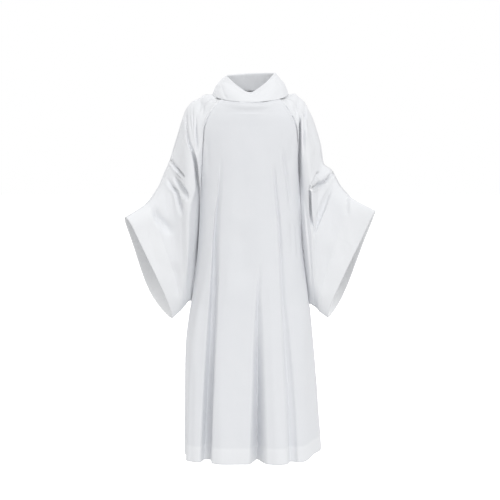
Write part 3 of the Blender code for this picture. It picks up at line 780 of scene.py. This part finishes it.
def pressHollows(sheets):
    for names, table in hollows:
        for name in names:
            grid = sheets[name]
            push = hollowPush(grid[..., [0, 2]], table)
            if name.startswith("sleeve"):
                down = metresDown(grid)
                push = push * ease(down / cloth["hollowHold"])
                push = push * ease((down[-1:] - down) / cloth["hollowHold"])
            grid[..., 1] += push if "front" in name.lower() else -push


def surfacePush(name, grid):
    # creases, soft dents, and the puckers and swelling beside the seams
    seam = fromSeams(name, grid)
    across, down = metresAcross(grid), metresDown(grid)
    flat = collarMeasure(grid) if name == "collar" else grid[..., [0, 2]]
    push = np.zeros(grid.shape[:2])
    for one in creases[name]:
        push += creasePush(flat, *one)
    blend = 1.0
    if name == "collar":
        turn = np.arange(grid.shape[1]) / grid.shape[1]
        blend = ease(np.minimum(turn, 1.0 - turn) / cloth["joinHold"])
    else:
        across = across - across[:, -1:] / 2
    *layers, seed = dents[name]
    for i, (sizeU, sizeV, height) in enumerate(layers):
        push += height * blend * softNoise(across, down, sizeU, sizeV, seed + i)
    push *= ease(seam / cloth["edgeHold"])
    size = cloth["puckerSize"]
    pucker = softNoise(across, down, size, size, seed + cloth["puckerSeed"])
    near = np.exp(-seam / cloth["puckerReach"]) * ease(seam / cloth["puckerStart"])
    push += cloth["pucker"] * pucker * near
    puff = np.exp(-(((seam - cloth["puffPlace"]) / cloth["puffReach"]) ** 2))
    return push + cloth["seamPuff"] * seamSink(grid) * puff


def dress(sheets):
    normals = sewnNormals(sheets)
    edge = sheets["collar"][-1]
    for name, grid in sheets.items():
        if name != "collar":
            sheets[name] = meetCollar(grid, normals[name], edge)
    pressHollows(sheets)
    for name, grid in sheets.items():
        normals = sheetNormals(grid, name == "collar")
        sheets[name] = grid + normals * surfacePush(name, grid)[..., None]
    normals = sewnNormals(sheets)
    for name, grid in sheets.items():
        dip = seamSink(grid) * np.exp(-((fromSeams(name, grid) / cloth["seamWidth"]) ** 2))
        if name != "collar":
            run = metresDown(grid) if name.endswith("Panel") else metresAcross(grid)
            fromStitches = np.abs(run - run[turnedHem(name)[0]])
            dip = dip + cloth["hemDip"] * np.exp(-((fromStitches / cloth["seamWidth"]) ** 2))
        sheets[name] = grid - normals[name] * dip[..., None]
    return sewnNormals(sheets)


def shell(grid, normals, wrap):
    rows, columns = grid.shape[:2]
    half = normals * (cloth["thickness"] / 2)
    points = np.concatenate([(grid + half).reshape(-1, 3), (grid - half).reshape(-1, 3)])
    inner = rows * columns
    index = np.arange(inner).reshape(rows, columns)
    if wrap:
        index = np.concatenate([index, index[:, :1]], axis=1)
    a, b = index[:-1, :-1], index[1:, :-1]
    c, d = index[1:, 1:], index[:-1, 1:]
    front = np.stack([a, b, c, d], axis=-1).reshape(-1, 4)
    rims = [(index[0, :-1], index[0, 1:]), (index[-1, 1:], index[-1, :-1])]
    if not wrap:
        rims += [(index[1:, 0], index[:-1, 0]), (index[:-1, -1], index[1:, -1])]
    walls = [np.stack([p, q, q + inner, p + inner], axis=-1) for p, q in rims]
    return points, np.concatenate([front, front[:, ::-1] + inner, *walls])


def newObject(name, data):
    made = bpy.data.objects.new(name, data)
    bpy.context.scene.collection.objects.link(made)
    return made


def makeCloth(name, grid, normals, material, wrap=False, doubledAndPaintedLight=0.0):
    points, faces = shell(grid, normals, wrap)
    mesh = bpy.data.meshes.new(name)
    mesh.from_pydata(points.tolist(), [], faces.tolist())
    mesh.shade_smooth()
    across = metresAcross(grid)
    flat = np.stack([across - across[:, -1:] / 2, metresDown(grid)], axis=-1).reshape(-1, 2)
    flat = np.concatenate([flat, flat])
    layer = mesh.uv_layers.new(name="UVMap")
    layer.data.foreach_set("uv", flat[faces].ravel().astype(np.float32))
    # share of the lighter colour: painted highlight on the sleeves and collar, two layers of cloth on
    # the hems
    layers = np.broadcast_to(doubledAndPaintedLight, across.shape).ravel()
    # marks the inner shell, except on the collar, which is painted lighter and glows
    wrongSidePaintedLight = np.repeat((0.0, 0.0 if wrap else 1.0), layers.size)
    for label, values in (("doubledAndPaintedLight", np.tile(layers, 2)), ("wrongSidePaintedLight", wrongSidePaintedLight)):
        attribute = mesh.attributes.new(label, "FLOAT", "POINT")
        attribute.data.foreach_set("value", values.astype(np.float32))
    mesh.materials.append(material)
    return newObject(name, mesh)


class Wire:
    # an output of a node; + and * add Math nodes
    def __init__(self, tree, socket):
        self.tree = tree
        self.socket = socket

    def math(self, operation, *values):
        return self.tree.node("ShaderNodeMath", 0, {"operation": operation},
                              **{str(i): value for i, value in enumerate(values)})

    def __add__(self, other):
        return self.math("ADD", self, other)

    def __mul__(self, other):
        return self.math("MULTIPLY", self, other)

    __radd__, __rmul__ = __add__, __mul__

    def sine(self):
        return self.math("SINE", self)


class Tree:
    # of a material, the room or the stitches
    def __init__(self, tree):
        self.tree = tree

    def fill(self, node, sockets):
        # sockets by name or, where names repeat, by place
        for key, value in sockets.items():
            socket = node.inputs[int(key) if key.isdigit() else key.replace("_", " ")]
            if isinstance(value, Wire):
                self.tree.links.new(value.socket, socket)
            else:
                socket.default_value = value

    def node(self, kind, output, settings=None, **sockets):
        # the wire of one output, or those of several
        node = self.tree.nodes.new(kind)
        for key, value in (settings or {}).items():
            setattr(node, key, value)
        self.fill(node, sockets)
        if isinstance(output, tuple):
            return [Wire(self, node.outputs[one]) for one in output]
        return Wire(self, node.outputs[output])


class Finish(Tree):
    def __init__(self, name, **sockets):
        self.material = bpy.data.materials.new(name)
        self.material.use_nodes = True
        super().__init__(self.material.node_tree)
        self.shade(**sockets)

    def shade(self, **sockets):
        self.fill(self.tree.nodes["Principled BSDF"], sockets)

    def noise(self, scale, detail, roughness):
        where = self.node("ShaderNodeTexCoord", "Object")
        return self.node("ShaderNodeTexNoise", "Fac", Vector=where, Scale=scale,
                         Detail=detail, Roughness=roughness)

    def blend(self, share, first, second):
        # a Mix node holds sets of sockets for numbers, vectors and colours: these are the colours
        return self.node("ShaderNodeMix", 2, {"data_type": "RGBA"},
                         **{"0": share, "6": first, "7": second})

    def emboss(self, height):
        self.shade(Normal=self.node("ShaderNodeBump", "Normal", Strength=1.0, Distance=1.0,
                                    Height=height))


black, white = (0.0, 0.0, 0.0, 1.0), (1.0, 1.0, 1.0, 1.0)
fabric = {
    "colour": (0.788, 0.800, 0.824, 1.0),
    "shade": (0.758, 0.772, 0.800, 1.0),    # thin places
    "doubledAndPaintedLight": (0.872, 0.882, 0.897, 1.0),  # lighter: two layers of cloth on the hems, and a painted highlight on the sleeves and collar
    # the inside faces, lighter than the outside: painted light in the shaded insides
    "wrongSidePaintedLight": (0.860, 0.868, 0.880, 1.0),
    "paintedGlowThrough": 0.07,               # the inside faces glow by this much: painted light standing in for light through the cloth
    "layers": {"body": (0.0, 0.40), "sleeve": (0.42, 0.66)},    # share of the lighter colour over the whole piece, a painted highlight on the sleeves and the collar (which takes the sleeve entry), and on the hems, where two layers of cloth lie
    "weave": 0.0006,                    # metres from thread to thread
    "weaveHeight": 0.00003,
    "crumple": (14.0, 3.0, 0.5),        # scale, detail and roughness of the noise
    "fineCrumple": (60.0, 2.0, 0.55),
    "crumpleHeight": 0.0009,
    "fineShare": 0.20,                  # of that height, for the small crumples
    "roughness": (0.68, 0.10),          # the least, and how much the small crumples add
    "thread": (0.840, 0.848, 0.866, 1.0),
    "twist": (900.0, 1.0, 0.5),         # of the thread's strands
    "twistHeight": 0.00008,
}


def clothFinish(name, colour, shade, doubledAndPaintedLight):
    finish = Finish(name, Sheen_Weight=0.15, Sheen_Roughness=0.45, Specular_IOR_Level=0.30,
                    Emission_Strength=fabric["paintedGlowThrough"])
    uv = finish.node("ShaderNodeUVMap", "UV", {"uv_map": "UVMap"})
    u, v = finish.node("ShaderNodeSeparateXYZ", ("X", "Y"), Vector=uv)
    turn = math.pi / fabric["weave"]
    weave = (u * turn).sine() * (v * turn).sine()
    softness, fineness = finish.noise(*fabric["crumple"]), finish.noise(*fabric["fineCrumple"])
    finish.emboss(weave * fabric["weaveHeight"] + softness * fabric["crumpleHeight"]
                  + fineness * (fabric["crumpleHeight"] * fabric["fineShare"]))
    # masks: the lighter colour (painted highlight on the sleeves and collar, two layers on the hems) and
    # the inside faces (painted light)
    layers, side = (finish.node("ShaderNodeAttribute", "Fac", {"attribute_name": one})
                    for one in ("doubledAndPaintedLight", "wrongSidePaintedLight"))
    colours = finish.blend(layers, finish.blend(softness, colour, shade), doubledAndPaintedLight)
    least, more = fabric["roughness"]
    # the inside faces take the lighter inside colour and a glow: painted light
    finish.shade(Base_Color=finish.blend(side, colours, fabric["wrongSidePaintedLight"]),
                 Emission_Color=finish.blend(side, black, white),
                 Roughness=least + more * fineness)
    return finish.material


def threadFinish():
    finish = Finish("whiteThread", Base_Color=fabric["thread"], Roughness=0.55,
                    Sheen_Weight=0.10, Sheen_Roughness=0.45, Specular_IOR_Level=0.40)
    finish.emboss(finish.noise(*fabric["twist"]) * fabric["twistHeight"])
    return finish.material


stitches = {
    "Pitch": 0.0034,        # from stitch to stitch
    "Length": 0.0026,
    "Radius": 0.00024,
}


def stitchTree(material):
    group = bpy.data.node_groups.new("rowOfStitches", "GeometryNodeTree")
    group.interface.new_socket("Path", in_out="INPUT", socket_type="NodeSocketGeometry")
    for name in stitches:
        group.interface.new_socket(name, in_out="INPUT", socket_type="NodeSocketFloat")
    group.interface.new_socket("Stitches", in_out="OUTPUT", socket_type="NodeSocketGeometry")
    tree = Tree(group)
    path, pitch, length, radius = tree.node("NodeGroupInput", ("Path", *stitches))
    curve = tree.node("GeometryNodeMeshToCurve", "Curve", Mesh=path)
    points, tangent = tree.node("GeometryNodeCurveToPoints", ("Points", "Tangent"),
                                {"mode": "LENGTH"}, Curve=curve, Length=pitch)
    turn = tree.node("FunctionNodeAlignRotationToVector", "Rotation", {"axis": "Z"},
                     Vector=tangent)
    size = tree.node("ShaderNodeCombineXYZ", "Vector", X=radius, Y=radius, Z=length * 0.5)
    bead = tree.node("GeometryNodeMeshUVSphere", "Mesh", Segments=5, Rings=4, Radius=1.0)
    smooth = tree.node("GeometryNodeSetShadeSmooth", "Geometry", Geometry=bead)
    beads = tree.node("GeometryNodeInstanceOnPoints", "Instances", Points=points,
                      Instance=smooth, Rotation=turn, Scale=size)
    real = tree.node("GeometryNodeRealizeInstances", "Geometry", Geometry=beads)
    painted = tree.node("GeometryNodeSetMaterial", "Geometry", Geometry=real, Material=material)
    tree.node("NodeGroupOutput", (), Stitches=painted)
    return group


def makeStitches(name, line, tree, material):
    mesh = bpy.data.meshes.new(name + "Path")
    mesh.from_pydata(line.tolist(), [(i, i + 1) for i in range(len(line) - 1)], [])
    path = newObject(name + "Path", mesh)
    modifier = path.modifiers.new("stitches", "NODES")
    modifier.node_group = tree
    for item in tree.interface.items_tree:
        if item.in_out == "INPUT" and item.name in stitches:
            modifier[item.identifier] = stitches[item.name]
    evaluated = path.evaluated_get(bpy.context.evaluated_depsgraph_get())
    done = bpy.data.meshes.new_from_object(evaluated)
    done.name = name
    bpy.data.objects.remove(path, do_unlink=True)
    if not done.materials:
        done.materials.append(material)
    return newObject(name, done)


cuts = {
    # node, across and down the cut that shows, its area, how it is held and what carries it
    "frontPanel": ("body_front", 1.08, 1.47, 0.93, "hung",
                   ("collar", "sleeveRightFront", "sleeveLeftFront")),
    "backPanel": ("body_back", 1.07, 1.48, 0.92, "hung",
                  ("collar", "sleeveRightBack", "sleeveLeftBack")),
    "sleeveRightFront": ("sleeve_right_front", 0.72, 0.95, 0.215, "hung", ("collar", "frontPanel")),
    "sleeveRightBack": ("sleeve_right_back", 0.72, 0.94, 0.230, "hung", ("collar", "backPanel")),
    "sleeveLeftFront": ("sleeve_left_front", 0.70, 0.96, 0.205, "hung", ("collar", "frontPanel")),
    "sleeveLeftBack": ("sleeve_left_back", 0.70, 0.96, 0.220, "hung", ("collar", "backPanel")),
    "collar": ("collar", 0.90, 0.19, 0.117, "folded", ("frontPanel", "backPanel")),
    "frontHem": ("hem_front", 1.08, 0.057, 0.060, "folded", ("frontPanel",)),
    "backHem": ("hem_back", 1.07, 0.057, 0.058, "folded", ("backPanel",)),
    "cuffHemRightFront": ("cuff_hem_right_front", 0.10, 0.46, 0.033, "folded", ("sleeveRightFront",)),
    "cuffHemRightBack": ("cuff_hem_right_back", 0.10, 0.49, 0.036, "folded", ("sleeveRightBack",)),
    "cuffHemLeftFront": ("cuff_hem_left_front", 0.10, 0.48, 0.035, "folded", ("sleeveLeftFront",)),
    "cuffHemLeftBack": ("cuff_hem_left_back", 0.10, 0.49, 0.036, "folded", ("sleeveLeftBack",)),
}


def standFor(name, piece):
    node = cuts[name][0]
    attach(piece, "root")
    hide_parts(node)
    return piece


def makeHem(name, hem, grid, normals, material):
    part = turnedHem(name)[1]
    back, facing = grid[part], normals[part]
    if name.startswith("sleeve"):
        back, facing = back[::2], facing[::2]       # half the rows will do
    back = back - facing * (cloth["thickness"] + cloth["hemLayer"])
    return makeCloth(hem, back, facing, material)


def build():
    outer = clothFinish("whiteCloth", fabric["colour"], fabric["shade"], fabric["doubledAndPaintedLight"])
    # the turned hems take the lighter inside colour all over: painted light
    inner = fabric["wrongSidePaintedLight"]
    turned = clothFinish("turnedCloth", inner, inner, inner)
    thread = threadFinish()
    tree = stitchTree(thread)

    sheets = {"frontPanel": panelSheet(frontPanel), "backPanel": panelSheet(backPanel)}
    for hand, side in (("Right", -1), ("Left", 1)):
        for half in ("Front", "Back"):
            sheets[f"sleeve{hand}{half}"] = sleeveSheet(half == "Front", side)
    sheets["collar"] = collarSheet()
    print("pattern pieces laid out")

    normals = dress(sheets)
    print("hollows, creases and seams pressed in")

    pieces = {}
    for name, grid in sheets.items():
        # the sleeves and collar are lighter all over, a painted highlight; the hems are lighter for
        # their two layers
        layers, hemDoubledAndPaintedLight = fabric["layers"]["body" if "Panel" in name else "sleeve"]
        doubledAndPaintedLight = np.full(grid.shape[:2], layers)
        isCollar = name == "collar"
        if not isCollar:
            doubledAndPaintedLight[turnedHem(name)[1]] = hemDoubledAndPaintedLight
        piece = makeCloth(name, grid, normals[name], outer, isCollar, doubledAndPaintedLight)
        pieces[name] = standFor(name, piece)
        if not isCollar:
            hem = name.replace("Panel", "Hem").replace("sleeve", "cuffHem")
            piece = makeHem(name, hem, grid, normals[name], turned)
            pieces[hem] = standFor(hem, piece)
    print("cloth and hems made")

    for name in normals:
        if name != "collar":
            surface = sheets[name] + normals[name] * (cloth["thickness"] / 2)
            line = surface[turnedHem(name)[0]].reshape(-1, 3)[2:-2]     # clear of the seams
            piece = makeStitches(name + "Stitches", line, tree, thread)
            pieces[name + "Stitches"] = piece
            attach(piece, "root")
    print("stitches sewn")

    for name, (_, width, length, area, held, hangsFrom) in cuts.items():
        sewnOn = [pieces[other] for other in (name + "Stitches",) if other in pieces]


build()

stage = {
    "floorZ": -1.53,
    "floorRadius": 30.0,
    "floorColour": (0.90, 0.90, 0.90, 1.0),
    "floorGlow": 0.70,
    "roomLow": 0.56,        # light of the room from below and from above
    "roomHigh": 0.94,
    "suns": (
        # towards the light, strength, softness in degrees
        ("keySun", (0.30, -0.76, 0.45), 0.85, 14.0),
        ("fillSun", (-0.75, -0.55, 0.25), 0.10, 50.0),
        ("backSun", (-0.45, 0.80, 0.45), 0.50, 30.0),
    ),
}
view = {
    "place": (0.0, -5.2, -0.195),
    "lookDown": 4.51,       # degrees
    "lens": 95.83,
    "shift": -0.001,
}


def makeFloor():
    mesh = bpy.data.meshes.new("floor")
    r, z = stage["floorRadius"], stage["floorZ"]
    mesh.from_pydata([(-r, -r, z), (r, -r, z), (r, r, z), (-r, r, z)], [], [(0, 1, 2, 3)])
    floor = newObject("floor", mesh)
    floor.visible_diffuse = False       # the room alone lights the cloth
    paint = Finish("floorPaint", Base_Color=stage["floorColour"], Roughness=0.9,
                   Emission_Color=white, Emission_Strength=stage["floorGlow"])
    mesh.materials.append(paint.material)


def makeRoom():
    world = bpy.data.worlds.new("softRoom")
    bpy.context.scene.world = world
    world.use_nodes = True
    tree = Tree(world.node_tree)
    way = tree.node("ShaderNodeTexCoord", "Generated")
    height = tree.node("ShaderNodeSeparateXYZ", "Z", Vector=way)
    room = tree.node("ShaderNodeMapRange", "Result", Value=height, From_Min=-1.0,
                     To_Min=stage["roomLow"], To_Max=stage["roomHigh"])
    seen = tree.node("ShaderNodeLightPath", "Is Camera Ray")    # seen itself, the room is white
    level = tree.node("ShaderNodeMapRange", "Result", Value=seen, To_Min=room, To_Max=1.0)
    tree.fill(world.node_tree.nodes["Background"], {"Strength": level, "Color": white})
    for name, towards, strength, softness in stage["suns"]:
        lamp = bpy.data.lights.new(name, "SUN")
        lamp.energy = strength
        lamp.angle = math.radians(softness)
        x, y, z = towards
        holder = newObject(name, lamp)
        holder.rotation_euler = (math.atan2(math.hypot(x, y), z), 0.0, math.atan2(x, -y))
        holder.location = towards


def makeCamera():
    data = bpy.data.cameras.new("camera")
    data.sensor_width = 36.0
    data.lens = view["lens"]
    data.shift_x = view["shift"]
    holder = newObject("camera", data)
    holder.location = view["place"]
    holder.rotation_euler = (math.radians(90.0 - view["lookDown"]), 0.0, 0.0)
    bpy.context.scene.camera = holder


bpy.context.scene.view_settings.view_transform = "Standard"
makeFloor()
makeRoom()
makeCamera()
print("stage and camera set")
